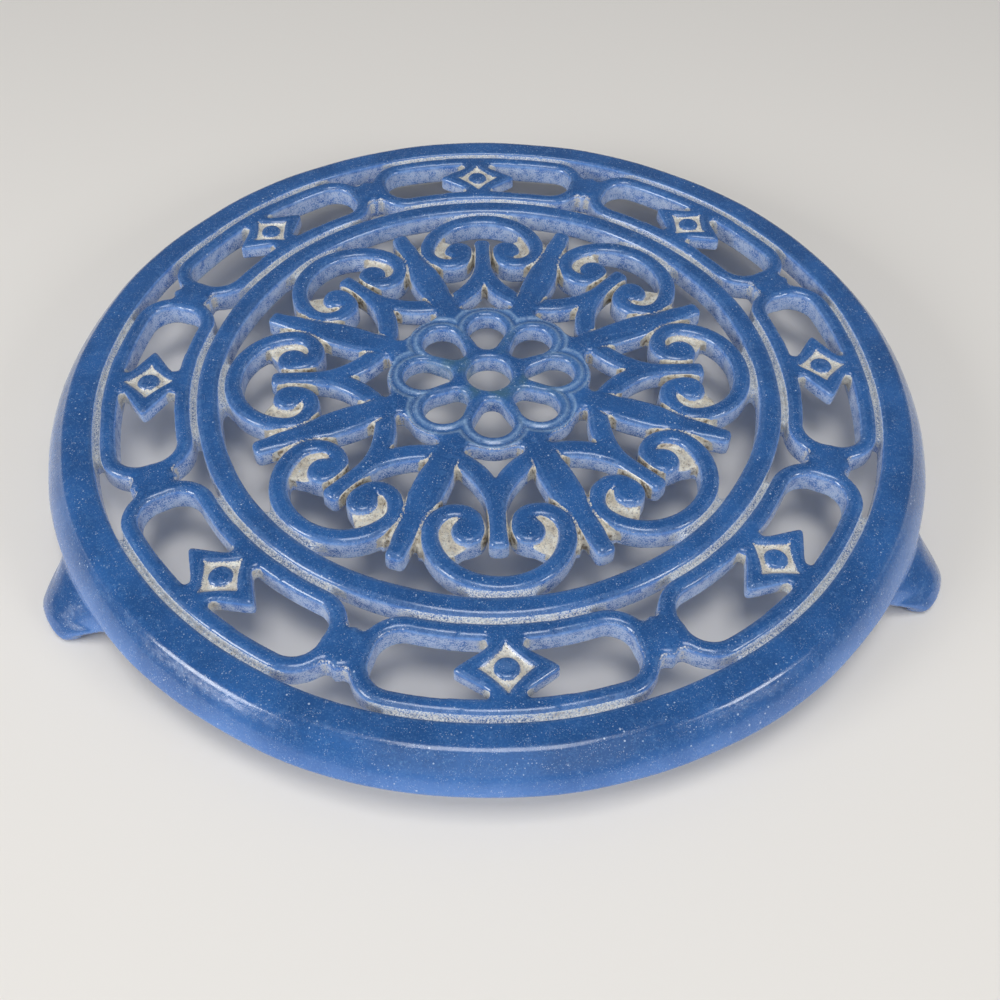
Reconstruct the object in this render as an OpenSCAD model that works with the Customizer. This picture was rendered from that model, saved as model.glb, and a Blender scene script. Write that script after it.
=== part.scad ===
// Round openwork trivet, cast in one piece, on three flared feet.
// Top of every bar lies at z = 0, the plane that a pot stands on. The axis of the pattern is Z.
// The pattern repeats eight times, and the first link, boss and scroll lie towards -Y.

/* [Outer rim] */
// Diameter over the foot of the rim's skirt
rim_d = 230.6; // [215:0.1:250]
// Breadth of the rim's flat top, from its inner edge to the turn of the skirt
rim_top_w = 7.2; // [6.2:0.1:8.4]
// How far the skirt flares outwards below the top
rim_flare = 5.8; // [4.5:0.1:7]
// Height of the rim from the top to the foot of the skirt
rim_h = 9.7; // [8:0.1:13]
// Wall of the skirt
rim_wall = 4; // [3.2:0.1:5]
// Radius of the turn between the rim's top and its skirt
rim_turn_r = 1.8; // [1:0.1:2.4]

/* [Openwork] */
// Number of links, bosses, scrolls and pairs of rays
repeats = 8; // [8:1:8]
// Depth of the bars
bar_depth = 6.5; // [5:0.1:7.5]
// Rounding of the bars' upper edges
edge_r = 1; // [0.5:0.05:1.3]
// Breadth of the grooves on both sides of the links
groove_w = 1.4; // [1:0.1:2]
// Depth of the grooves and of the volutes' floors below the top
groove_depth = 2.2; // [1.4:0.1:3]

/* [Links] */
// Breadth of the belt of links, outer edge to inner edge
link_h = 22.6; // [21:0.1:24]
// Breadth of a link's strand
strand_w = 4.1; // [3.4:0.1:4.6]
// Corner radius of a link's opening
link_corner_r = 6; // [4.5:0.1:6.2]
// Width of the web that joins two links, at its waist
web_w = 3.6; // [3:0.1:4.2]

/* [Bosses] */
// Width of a boss over its two tips
boss_w = 23.2; // [20:0.1:25]
// Width of the necks that tie a boss to its link
boss_neck_w = 8; // [6:0.1:9]
// Thickness of a boss
boss_depth = 4.5; // [3:0.1:5]
// Depth of the hollow round the pip
boss_hollow_depth = 1.1; // [0.6:0.1:1.6]
// Diameter of the pip
pip_d = 5.5; // [4.2:0.1:6.2]

/* [Inner ring] */
// Breadth of the inner ring
ring_w = 5.9; // [5:0.1:7]

/* [Scrolls] */
// Breadth of a scroll's strand
scroll_w = 4.7; // [4:0.1:5.2]
// Diameter of the eye at the end of a scroll
eye_d = 8.2; // [7.4:0.1:8.8]

/* [Star and rosette] */
// Thickness of the star
star_depth = 5.5; // [4:0.1:6.5]
// Greatest breadth of a long ray
long_ray_w = 8.7; // [7.8:0.1:9.4]
// Breadth of the rays at their tips
ray_tip_w = 4.9; // [4.2:0.1:5.2]
// Wall of a lobe round its petal hole
petal_wall = 2.9; // [2.2:0.1:3.6]
// Wall between the middle hole of the rosette and the petal holes
hub_wall = 3.8; // [3:0.1:4.6]

/* [Feet] */
// Height of the trivet from the table to the top
trivet_h = 20; // [18:0.1:23]
// Number of feet
feet = 3; // [3:1:3]
// How far a toe reaches out past the skirt
toe_reach = 9.4; // [8:0.1:11]
// Breadth of a foot at its toe
toe_w = 15; // [13:0.1:17]

/* [Hidden] */
$fn = 64;
overrun = 1;
unit_turn = 360 / repeats;
rim_r = rim_d / 2;
rim_in_r = rim_r - rim_flare - rim_top_w;
link_out_r = rim_in_r - groove_w;
link_in_r = link_out_r - link_h;
open_out_r = link_out_r - strand_w;
open_in_r = link_in_r + strand_w;
belt_r = (link_out_r + link_in_r) / 2;
ring_out_r = link_in_r - groove_w;
ring_in_r = ring_out_r - ring_w;
field_r = ring_in_r;

// Turning a shape from +X towards -Y puts unit k in its place
function unit_angle(k) = -90 + unit_turn * k;
function polar(r, a) = [r * cos(a), r * sin(a)];
function mix(a, b, t) = a + (b - a) * t;
function bend(a, b, c, t) = mix(mix(a, b, t), mix(b, c, t), t);
function across(pts) = [for (p = pts) [p[0], -p[1]]];
function back(pts) = [for (i = [len(pts) - 1:-1:0]) pts[i]];
function flip(pts) = back(across(pts));
// Points along an arc of radius r about c, from angle a to angle b
function arc_points(c, r, a, b, step = 6) =
    let (n = ceil(abs(b - a) / step))
    [for (i = [0:n]) c + polar(r, a + (b - a) * i / n)];
function turned(p, a) = [p[0] * cos(a) - p[1] * sin(a), p[0] * sin(a) + p[1] * cos(a)];

// The end of a link's opening is a line beside the radius at end_angle; a bar's half axis is +X
end_angle = unit_turn / 2 - asin((web_w / 2 + strand_w) / belt_r);
corner_r = min(link_corner_r, (open_out_r - open_in_r) * 0.46);
// Middle of a corner's arc, for a corner tangent to a circle of radius r and to the end line
function corner_at(r) =
    let (s = corner_r)
    turned([sqrt(r * r - s * s), -s], end_angle);
outer_corner = corner_at(open_out_r - corner_r);
inner_corner = corner_at(open_in_r + corner_r);
outer_corner_angle = atan2(outer_corner[1], outer_corner[0]);
inner_corner_angle = atan2(inner_corner[1], inner_corner[0]);

// Cross section of a ring-shaped bar, its top at z = 0, with rounded upper edges
module bar_section(w, depth) {
    translate([-w / 2, -depth])
        square([w, depth - edge_r]);
    translate([-w / 2 + edge_r, -depth])
        square([w - 2 * edge_r, depth]);
    for (s = [-1, 1])
        translate([s * (w / 2 - edge_r), -edge_r])
            circle(edge_r);
}

// The floor of a groove: part of a ring, from angle a to angle b
module floor_arc(r1, r2, a, b, top, depth) {
    rotate([0, 0, a])
        rotate_extrude(angle = b - a)
            translate([r1, -depth])
                square([r2 - r1, depth - top]);
}

module ring_shape(r1, r2) {
    difference() {
        circle(r2);
        circle(r1);
    }
}

// The rim's flat top, its turned-down flared skirt and the rounded lip of the skirt
function rim_section() =
    let (lip_r = rim_wall / 3,
         turn_c = [rim_r - rim_flare - rim_turn_r / 2, -rim_turn_r],
         lip_c = [rim_r - lip_r, -rim_h + lip_r],
         lip_in = [rim_r - rim_wall + lip_r, -rim_h + lip_r],
         d = lip_c - turn_c,
         out = atan2(d[1], d[0]) + acos((rim_turn_r - lip_r) / norm(d)),
         foot = lip_in + polar(lip_r, out - 180))
    concat(
        arc_points([rim_in_r + edge_r, -edge_r], edge_r, 180, 90, 30),
        arc_points(turn_c, rim_turn_r, 90, out, 12),
        arc_points(lip_c, lip_r, out, -90, 20),
        arc_points(lip_in, lip_r, -90, out - 180, 20),
        [[foot[0] - (foot[1] + bar_depth) / tan(out + 90), -bar_depth], [rim_in_r, -bar_depth]]);

module outer_rim() {
    color("steelblue")
        rotate_extrude()
            polygon(rim_section());
}

module inner_ring() {
    color("steelblue")
        rotate_extrude()
            translate([(ring_in_r + ring_out_r) / 2, 0])
                bar_section(ring_w, bar_depth);
}

// Half outline of a link, or of its opening, from the inner side to the outer one
function link_side(grow) =
    let (out_dir = end_angle + 90, r = corner_r + grow,
         far = norm(outer_corner) + r, step = outer_corner_angle / 3)
    concat(
        arc_points(inner_corner, r, inner_corner_angle + 180, out_dir),
        arc_points(outer_corner, r, out_dir, outer_corner_angle),
        [for (i = [2:-1:0]) polar(far / cos(step / 2), step * (i + 0.5))]);

module link_shape(grow, r1, r2) {
    intersection() {
        polygon(concat(link_side(grow), flip(link_side(grow))));
        ring_shape(r1, r2);
    }
}

module frieze_link(k) {
    color("royalblue")
        rotate([0, 0, unit_angle(k)]) {
            translate([0, 0, -bar_depth])
                linear_extrude(bar_depth)
                    difference() {
                        link_shape(strand_w, link_in_r, link_out_r);
                        link_shape(0, open_in_r, open_out_r);
                    }
            floor_arc(link_out_r - strand_w / 2, rim_in_r, -outer_corner_angle, outer_corner_angle,
                      groove_depth, bar_depth);
            floor_arc(ring_out_r, link_in_r + strand_w / 2, -inner_corner_angle, inner_corner_angle,
                      groove_depth, bar_depth);
        }
}

// The web between two links, with a point towards the rim and one towards the inner ring
module link_web(k) {
    tip_out = belt_r + link_h * 0.27;
    tip_in = belt_r - link_h * 0.245;
    shoulder = link_h * 0.175;
    color("cornflowerblue")
        rotate([0, 0, unit_angle(k) + unit_turn / 2])
            translate([0, 0, -bar_depth])
                linear_extrude(bar_depth)
                    difference() {
                        polygon([
                            [tip_out, 0],
                            [belt_r + shoulder, web_w * 0.95],
                            [belt_r, web_w * 1.25],
                            [belt_r - shoulder, web_w * 0.82],
                            [tip_in, 0],
                            [belt_r - shoulder, -web_w * 0.82],
                            [belt_r, -web_w * 1.25],
                            [belt_r + shoulder, -web_w * 0.95]]);
                        for (s = [-1, 1])
                            rotate(s * unit_turn / 2)
                                link_shape(strand_w, link_in_r, link_out_r);
                    }
}

// One half of a boss's outline, from the neck towards the rim to the neck towards the ring
function boss_side() =
    let (n = boss_neck_w / 2, t = boss_w / 2, tip = strand_w * 0.3)
    [
        [open_out_r + strand_w / 2, n],
        [open_out_r - strand_w * 0.35, n],
        [belt_r + link_h * 0.205, n + strand_w * 0.3],
        [belt_r + tip, t - tip],
        [belt_r + tip * 0.3, t - tip * 0.15],
        [belt_r - tip * 0.3, t - tip * 0.15],
        [belt_r - tip, t - tip],
        [belt_r - link_h * 0.205, n + strand_w * 0.3],
        [open_in_r + strand_w * 0.35, n],
        [open_in_r - strand_w / 2, n]
    ];

// The hollow of a boss: a four-pointed field with drawn-in sides
module boss_field() {
    along = boss_w * 0.28;
    across = boss_w * 0.27;
    waist = pip_d * 0.8;
    sides = 5;
    quarter = [for (i = [0:sides - 1])
        bend([along, 0], [waist * 0.62, waist * 0.62], [0, across], i / sides)];
    polygon(concat(
        quarter,
        [for (p = flip(quarter)) [-p[0], -p[1]]],
        [for (p = quarter) [-p[0], -p[1]]],
        flip(quarter)));
}

module lozenge_boss(k) {
    color("lightsteelblue")
        rotate([0, 0, unit_angle(k)]) {
            difference() {
                translate([0, 0, -boss_depth])
                    linear_extrude(boss_depth)
                        intersection() {
                            polygon(concat(boss_side(), flip(boss_side())));
                            ring_shape(open_in_r, open_out_r);
                        }
                translate([belt_r, 0, -boss_hollow_depth])
                    linear_extrude(boss_hollow_depth + overrun)
                        boss_field();
            }
            translate([belt_r, 0, -boss_depth])
                cylinder(d = pip_d, h = boss_depth - edge_r / 4);
        }
}

// A scroll is a chain of arcs in the field inside the inner ring. Shares are of the field's radius.
bow_centre_share = 0.6988;
bow_turn_share = 0.2533;
side_turn_share = 0.2083;
volute_turn_share = 0.0907;
coil_turn_share = 0.0577;
eye_centre_share = 0.739;
ray_gap_share = 0.005;
bow_a = 30;
side_a = 86;
volute_a = 195;
coil_a = 300;
bow_arc_r = field_r * bow_turn_share;
side_arc_r = field_r * side_turn_share;
volute_arc_r = field_r * volute_turn_share;
coil_arc_r = field_r * coil_turn_share;
bow_c = [field_r * bow_centre_share, 0];
side_c = bow_c + polar(bow_arc_r - side_arc_r, bow_a);
volute_c = side_c + polar(side_arc_r - volute_arc_r, side_a);
coil_c = volute_c + polar(volute_arc_r - coil_arc_r, volute_a);
ray_gap = field_r * ray_gap_share;
eye_c = [field_r * eye_centre_share, (ray_tip_w + eye_d) / 2 + 1.5 * ray_gap];

notch_r = field_r * 0.4832;
notch_half_w = field_r * 0.0551;
long_tip_r = field_r * 0.9177;
short_tip_r = field_r * 0.8114;
// Half the blunt end of a ray that reaches to r
function ray_tip(r) =
    let (h = ray_tip_w / 2)
    [[r - h * 0.6, h], [r - h * 0.18, h * 0.82], [r, h * 0.4]];
// Long ray: half outline, swelling from the notch at its foot and drawn in to its blunt tip
function long_side() =
    let (h = long_ray_w / 2, foot = [notch_r, notch_half_w], swell = [field_r * 0.645, h],
         neck = [field_r * 0.86, ray_tip_w / 2 * 1.04], n = 3)
    concat(
        [for (i = [0:n]) bend(foot, [field_r * 0.535, h * 1.08], swell, i / n)],
        [for (i = [1:n]) bend(swell, [field_r * 0.71, h * 0.93], neck, i / n)],
        ray_tip(long_tip_r));
// Short ray: half outline, drawn in from the notch and even in breadth to its blunt tip
function short_side() =
    let (foot = turned([notch_r, -notch_half_w], unit_turn / 2), h = ray_tip_w / 2, n = 7)
    concat(
        [for (i = [0:n]) bend(foot, [field_r * 0.565, field_r * 0.034], [field_r * 0.66, h], i / n)],
        ray_tip(short_tip_r));

// The room that a scroll leaves free round a short ray
module short_ray_room() {
    room = [for (p = short_side()) [p[0] + ray_gap, p[1] + ray_gap]];
    polygon(concat(room, flip(room)));
}

module long_ray_shape() {
    polygon(concat([[0, 0]], long_side(), flip(long_side())));
}

// One side of half a scroll, from its middle to the eye of its volute; side is 1 outside, -1 inside
function scroll_side(side) =
    let (h = side * scroll_w / 2)
    concat(
        arc_points(bow_c, bow_arc_r + h, 0, bow_a),
        arc_points(side_c, side_arc_r + h, bow_a, side_a),
        arc_points(volute_c, volute_arc_r + h, side_a, volute_a, 10),
        arc_points(coil_c, coil_arc_r + h, volute_a, coil_a, 12));

module scroll_shape() {
    outer = scroll_side(1);
    inner = scroll_side(-1);
    polygon(concat(flip(outer), outer, back(inner), across(inner)));
    for (s = [-1, 1])
        translate([eye_c[0], s * eye_c[1]])
            circle(d = eye_d);
}

// Floors below the top: under the volutes, between the scroll and the ring, and up to the long rays
module scroll_floor_shape() {
    seat = field_r * 0.13;
    contact = field_r * 0.07;
    contact_w = volute_c[0] * sin(unit_turn / 2) - volute_c[1] * cos(unit_turn / 2) - volute_arc_r;
    contact_r = volute_c[0] * cos(unit_turn / 2) + volute_c[1] * sin(unit_turn / 2);
    for (s = [0, 1])
        mirror([0, s]) {
            intersection() {
                translate(volute_c)
                    circle(volute_arc_r);
                square([field_r * 0.825, field_r]);
            }
            rotate(unit_turn / 2)
                translate([contact_r - contact, -contact_w])
                    square([2 * contact, contact_w]);
        }
    intersection() {
        circle(ring_in_r);
        translate([bow_c[0] + bow_arc_r * 0.95, -seat])
            square([field_r, 2 * seat]);
    }
}

module scroll(k) {
    color("dodgerblue")
        rotate([0, 0, unit_angle(k)])
            difference() {
                union() {
                    translate([0, 0, -bar_depth])
                        linear_extrude(bar_depth)
                            scroll_shape();
                    translate([0, 0, -bar_depth])
                        linear_extrude(bar_depth - groove_depth)
                            scroll_floor_shape();
                }
                translate([0, 0, -bar_depth - overrun])
                    linear_extrude(bar_depth + 2 * overrun) {
                        short_ray_room();
                        for (s = [-1, 1])
                            rotate(s * unit_turn / 2)
                                long_ray_shape();
                    }
            }
}

// Rosette: eight lobes round a hub
lobe_c_r = field_r * 0.2514;
lobe_r = field_r * 0.1138;
petal_r = lobe_r - petal_wall;
centre_hole_r = lobe_c_r - lobe_r - hub_wall;
module scallop() {
    circle(lobe_c_r);
    for (k = [0:repeats - 1])
        rotate(unit_angle(k))
            translate([lobe_c_r, 0])
                circle(lobe_r);
}

// One window between the rosette and a short ray
module window_shape() {
    apex = [field_r * 0.509, 0];
    corner = [field_r * 0.395, field_r * 0.099];
    under = [field_r * 0.371, field_r * 0.089];
    n = 5;
    side = concat(
        [for (i = [0:n]) bend(apex, [field_r * 0.447, field_r * 0.031], corner, i / n)],
        [[(corner[0] + under[0]) / 2, corner[1] + (corner[0] - under[0]) / 5], under]);
    difference() {
        polygon(concat(side, flip(side)));
        translate([lobe_c_r, 0])
            circle(lobe_r + field_r * 0.0195);
    }
}

// The star's outline in one repeat: up and down a short ray, then up and down a long one
function star_part() =
    let (short = short_side(), long = long_side(), far = len(long) - 1)
    concat(
        across(short),
        back(short),
        [for (i = [1:far]) turned([long[i][0], -long[i][1]], unit_turn / 2)],
        [for (i = [far:-1:1]) turned(long[i], unit_turn / 2)]);

module star() {
    color("steelblue")
        translate([0, 0, -star_depth])
            linear_extrude(star_depth)
                difference() {
                    polygon([for (k = [0:repeats - 1]) for (p = star_part()) turned(p, unit_angle(k))]);
                    scallop();
                    for (k = [0:repeats - 1])
                        rotate(unit_angle(k))
                            window_shape();
                }
}

// A petal hole: two circles joined by their outer tangents
module petal_shape() {
    r1 = petal_r;
    r2 = petal_r * 0.58;
    c1 = lobe_c_r - petal_r * 0.04;
    c2 = lobe_c_r - petal_r * 0.98;
    a = acos((r2 - r1) / (c1 - c2));
    translate([c1, 0])
        circle(r1);
    translate([c2, 0])
        circle(r2);
    polygon([
        [c1 + r1 * cos(a), r1 * sin(a)],
        [c2 + r2 * cos(a), r2 * sin(a)],
        [c2 + r2 * cos(a), -r2 * sin(a)],
        [c1 + r1 * cos(a), -r1 * sin(a)]]);
}

module rosette() {
    color("royalblue")
        translate([0, 0, -star_depth])
            linear_extrude(star_depth)
                difference() {
                    scallop();
                    circle(centre_hole_r);
                    for (k = [0:repeats - 1])
                        rotate(unit_angle(k))
                            petal_shape();
                }
}

// Profile of a foot from top to sole. Height as a share of the trivet's, the reach past the rim
// outside and inside as shares of the toe's, the breadth as a share of the toe's, and how far the
// outline across the foot is full, like the toe's, and not drawn out thin, like the flare's.
foot_shares = [
    [0.350, -0.30, -0.46, 2.95, 0.00],
    [0.425, -0.10, -0.43, 2.90, 0.00],
    [0.498, 0.15, -0.38, 2.76, 0.00],
    [0.550, 0.30, -0.35, 2.60, 0.10],
    [0.625, 0.50, -0.27, 2.27, 0.20],
    [0.700, 0.70, -0.19, 1.87, 0.35],
    [0.775, 0.86, 0.02, 1.53, 0.55],
    [0.850, 0.96, 0.20, 1.27, 0.75],
    [0.900, 1.00, 0.27, 1.15, 0.90],
    [0.960, 0.96, 0.31, 1.09, 1.00],
    [1.000, 0.84, 0.34, 1.03, 1.00]];
foot_stations = 16;

// A point of a foot on its outside (side 1) or inside (side 2), u from -1 to 1 across its breadth
function foot_point(l, side, u) =
    let (full = mix(pow(cos(90 * u), 2), sqrt(1 - pow(u, 4)), l[4]),
         reach = side == 1 ? mix(l[2], l[1], mix(full, 1, 0.1)) : l[2],
         r = rim_r + toe_reach * reach,
         a = asin(toe_w / 2 * l[3] * u / rim_r))
    [r * cos(a), r * sin(a), -trivet_h * l[0]];
function foot_loop(u) = concat(
    [for (l = foot_shares) foot_point(l, 1, u)],
    [for (l = back(foot_shares)) foot_point(l, 2, u)]);

module foot_body() {
    levels = len(foot_shares);
    m = 2 * levels;
    n = foot_stations;
    polyhedron(
        points = [for (i = [0:n]) for (p = foot_loop(sin(90 * (2 * i / n - 1)))) p],
        faces = concat(
            [for (i = [0:n - 1]) for (j = [0:m - 1]) for (half = [0, 1])
                let (a = i * m + j, b = i * m + (j + 1) % m)
                half == 0 ? [a, a + m, b] : [b, a + m, b + m]],
            [for (j = [0:levels - 2]) for (half = [0, 1])
                half == 0 ? [j, j + 1, m - 1 - j] : [j + 1, m - 2 - j, m - 1 - j]],
            [for (j = [0:levels - 2]) for (half = [0, 1])
                half == 0 ? [n * m + j, n * m + m - 1 - j, n * m + j + 1]
                          : [n * m + j + 1, n * m + m - 1 - j, n * m + m - 2 - j]]));
}

module foot(k) {
    color("steelblue")
        difference() {
            rotate([0, 0, 360 / feet * (k - 1) - 30])
                foot_body();
            outer_rim();
        }
}

outer_rim();
inner_ring();
for (k = [1:repeats]) {
    frieze_link(k);
    link_web(k);
    lozenge_boss(k);
    scroll(k);
}
star();
rosette();
for (k = [1:feet])
    foot(k);
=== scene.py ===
"""Looks of the openwork trivet.

One field of distances, in the sizes of the part's source, gives the surface of the whole casting. The
surface is then cut into the forms that the part names, and each of them replaces its own node.
"""
import math
import bpy
import numpy as np
from mathutils import Matrix, Vector


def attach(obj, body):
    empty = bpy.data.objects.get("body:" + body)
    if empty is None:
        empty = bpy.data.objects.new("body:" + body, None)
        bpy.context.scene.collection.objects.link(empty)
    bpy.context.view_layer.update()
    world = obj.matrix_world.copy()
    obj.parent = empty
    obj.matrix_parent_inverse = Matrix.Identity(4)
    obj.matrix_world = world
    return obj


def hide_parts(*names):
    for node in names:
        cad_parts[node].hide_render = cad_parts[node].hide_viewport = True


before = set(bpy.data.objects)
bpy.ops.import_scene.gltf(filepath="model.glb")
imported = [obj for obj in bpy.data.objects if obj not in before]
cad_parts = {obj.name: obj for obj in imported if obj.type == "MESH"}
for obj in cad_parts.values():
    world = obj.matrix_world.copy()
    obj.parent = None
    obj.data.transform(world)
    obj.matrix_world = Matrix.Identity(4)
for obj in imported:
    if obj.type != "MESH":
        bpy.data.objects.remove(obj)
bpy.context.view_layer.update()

MM = 0.001
CELL = 0.45

# Sizes in mm, as in the part's source. RIM_TURN alone is softer here, as the enamel rounds it.
RIM_R = 115.3
RIM_TOP_W = 7.2
RIM_FLARE = 5.8
RIM_H = 9.7
RIM_WALL = 4.0
RIM_TURN = 3.4
RIM_SWELL = 1.6
UNIT = 45.0
UNITS = 8
BAR = 6.5
GROOVE = 1.4
GROOVE_D = 2.2
LINK_H = 22.6
STRAND = 4.1
CORNER = 6.0
WEB = 3.6
BOSS_W = 23.2
BOSS_D = 4.5
NECK = 8.0
HOLLOW = 1.1
PIP = 5.5
RING_W = 5.9
SCROLL_W = 4.7
EYE = 8.2
STAR_D = 5.5
RAY_W = 8.7
RAY_TIP = 4.9
PETAL_WALL = 2.9
HOLE_WALL = 3.8
HEIGHT = 20.0
TOE_REACH = 9.4
TOE_W = 15.0
FEET = (-30.0, 90.0, 210.0)

# Radii that follow from them
RIM_IN = RIM_R - RIM_FLARE - RIM_TOP_W
LINK_OUT = RIM_IN - GROOVE
LINK_IN = LINK_OUT - LINK_H
OPEN_OUT = LINK_OUT - STRAND
OPEN_IN = LINK_IN + STRAND
BELT = (LINK_OUT + LINK_IN) / 2
RING_OUT = LINK_IN - GROOVE
FIELD = RING_OUT - RING_W
RING_MID = (RING_OUT + FIELD) / 2

# How far the enamel rounds the top edges, and how the casting wavers
EDGE = 1.6
RING_EDGE = 1.8
BOSS_EDGE = 1.2
FLOOR_EDGE = 0.5
UNDER_EDGE = 0.6
DRAFT = 0.03
WAVER = 0.10
UNEVEN = 0.8

# Fillets where forms meet
CRISP = 0.3
HOLE_FILLET = 0.25
BOSS_FILLET = 0.25
WINDOW_FILLET = 0.4
VOLUTE_FILLET = 0.5
RAY_FILLET = 0.7
SEAT_FILLET = 0.8
LOBE_FILLET = 1.0
SCROLL_FILLET = 1.1
BULB_FILLET = 1.2
GROOVE_FILLET = 1.3
NECK_FILLET = 1.4
FOOT_FILLET = 1.4
FLOOR_END = 1.5
WEB_FILLET = 2.4

# How wide and deep the tops sink at a weld and round a lobe, and how low a pip lies
WELD_W = 0.6
WELD_D = 0.3
VALLEY_W = 0.9
VALLEY_D = 0.6
PIP_DROP = 0.12

# How near a point has to be to a boss or a foot to count with it
BOSS_NEAR = 6
FOOT_NEAR = 2


# Points in the plan
def polar(r, a):
    return np.array([r * math.cos(math.radians(a)), r * math.sin(math.radians(a))])


def turned(p, a):
    c, s = math.cos(math.radians(a)), math.sin(math.radians(a))
    return np.array([p[0] * c - p[1] * s, p[0] * s + p[1] * c])


def bend(a, b, c, t):
    a, b, c = (np.asarray(p, float) for p in (a, b, c))
    return (a + (b - a) * t) * (1 - t) + (b + (c - b) * t) * t


def arc(c, r, a, b, pace=6.0):
    n = max(1, math.ceil(abs(b - a) / pace))
    return [np.asarray(c) + polar(r, a + (b - a) * i / n) for i in range(n + 1)]


def flip(pts):
    """The mirror image of a side, read backwards, so that it goes on where the side ends."""
    return [np.array([p[0], -p[1]]) for p in pts][::-1]


# Distances in the plan
def along(x, y, pts, closed):
    """The distance to a chain of points and, for a closed one, whether x, y lies inside it."""
    best = np.full(x.shape, 1e9)
    inside = np.zeros(x.shape, bool)
    n = len(pts)
    for i in range(n if closed else n - 1):
        ax, ay = pts[i]
        bx, by = pts[(i + 1) % n]
        ex, ey = bx - ax, by - ay
        size = ex * ex + ey * ey
        if size < 1e-12:
            continue
        t = np.clip(((x - ax) * ex + (y - ay) * ey) / size, 0, 1)
        best = np.minimum(best, (x - ax - t * ex) ** 2 + (y - ay - t * ey) ** 2)
        if closed and ay != by:
            hit = ((ay > y) != (by > y)) & (x < ex * (y - ay) / ey + ax)
            inside ^= hit
    return np.sqrt(best), inside


def shape(x, y, pts):
    d, inside = along(x, y, pts, True)
    return np.where(inside, -d, d)


def disc(x, y, c, r):
    return np.hypot(x - c[0], y - c[1]) - r


def smin(a, b, k):
    """The lesser of two distances, with a fillet of about k where they meet."""
    h = np.maximum(k - np.abs(a - b), 0) / k
    return np.minimum(a, b) - h * h * k * 0.25


def smax(a, b, k):
    return -smin(-a, -b, k)


def step(x, a, b):
    t = np.clip((x - a) / (b - a), 0, 1)
    return t * t * (3 - 2 * t)


# Outlines of one unit, whose axis lies along X. Their numbers are shares of the sizes that stand beside them.
END = UNIT / 2 - math.degrees(math.asin((WEB / 2 + STRAND) / BELT))


def corner_at(r):
    return turned((math.sqrt(r * r - CORNER * CORNER), -CORNER), END)


def direction(p):
    return math.degrees(math.atan2(p[1], p[0]))


CORNER_OUT = corner_at(OPEN_OUT - CORNER)
CORNER_IN = corner_at(OPEN_IN + CORNER)
CORNER_OUT_A = direction(CORNER_OUT)
CORNER_IN_A = direction(CORNER_IN)


def link_outline(grow, r_out, r_in):
    r = CORNER + grow
    side = arc((0, 0), r_in, 0, CORNER_IN_A, 2) + arc(CORNER_IN, r, CORNER_IN_A + 180, END + 90)
    side += arc(CORNER_OUT, r, END + 90, CORNER_OUT_A) + arc((0, 0), r_out, CORNER_OUT_A, 0, 2)
    return side + flip(side)


def boss_outline():
    n, t, tip = NECK / 2, BOSS_W / 2, STRAND * 0.3
    shoulder = LINK_H * 0.205
    side = [(OPEN_OUT + STRAND / 2, n), (OPEN_OUT - STRAND * 0.35, n), (BELT + shoulder, n + tip),
            (BELT + tip, t - tip), (BELT + tip * 0.3, t - tip * 0.15), (BELT - tip * 0.3, t - tip * 0.15),
            (BELT - tip, t - tip), (BELT - shoulder, n + tip), (OPEN_IN + STRAND * 0.35, n),
            (OPEN_IN - STRAND / 2, n)]
    return side + flip(side)


def hollow_outline():
    a, b, w = BOSS_W * 0.28, BOSS_W * 0.27, PIP * 0.8 * 0.62
    quarter = [bend((a, 0), (w, w), (0, b), i / 8) for i in range(8)]
    half = quarter + [(0, b)] + [(-p[0], p[1]) for p in quarter[::-1]]
    return [(p[0] + BELT, p[1]) for p in half + flip(half)[1:-1]]


def web_outline():
    out, inn, reach = BELT + LINK_H * 0.27, BELT - LINK_H * 0.245, LINK_H * 0.175
    side = [(out, 0), (BELT + reach, WEB * 0.95), (BELT, WEB * 1.25), (BELT - reach, WEB * 0.82), (inn, 0)]
    return [turned(p, UNIT / 2) for p in side + flip(side)[1:-1]]


# The scroll is a chain of arcs that touch: bow, shoulder, volute, curl. It ends in a bulb.
BOW_C, BOW_R, BOW_A = np.array([FIELD * 0.6988, 0.0]), FIELD * 0.2533, 30
SHOULDER_R, SHOULDER_A = FIELD * 0.2083, 86
VOLUTE_R, VOLUTE_A = FIELD * 0.0907, 195
CURL_R, CURL_A = FIELD * 0.0577, 300
SHOULDER_C = BOW_C + polar(BOW_R - SHOULDER_R, BOW_A)
VOLUTE_C = SHOULDER_C + polar(SHOULDER_R - VOLUTE_R, SHOULDER_A)
CURL_C = VOLUTE_C + polar(VOLUTE_R - CURL_R, VOLUTE_A)
EYE_C = (FIELD * 0.739, FIELD * 0.0995)


def scroll_line():
    line = arc(BOW_C, BOW_R, 0, BOW_A, 4) + arc(SHOULDER_C, SHOULDER_R, BOW_A, SHOULDER_A, 4)[1:]
    line += arc(VOLUTE_C, VOLUTE_R, SHOULDER_A, VOLUTE_A, 8)[1:]
    return line + arc(CURL_C, CURL_R, VOLUTE_A, CURL_A, 10)[1:]


# The rays of the star start at the notches between its windows
NOTCH_R, NOTCH_W = FIELD * 0.4832, FIELD * 0.0551
LONG_R, SHORT_R = FIELD * 0.9177, FIELD * 0.8114
RAY_ROOT = NOTCH_R * 0.55


def ray_tip(r):
    h = RAY_TIP / 2
    end = (r - h * 0.6, h * 0.4)
    return [np.array(end) + polar(h * 0.6, a) for a in (90, 60, 30, 0)] + [np.array((r, 0))]


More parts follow.
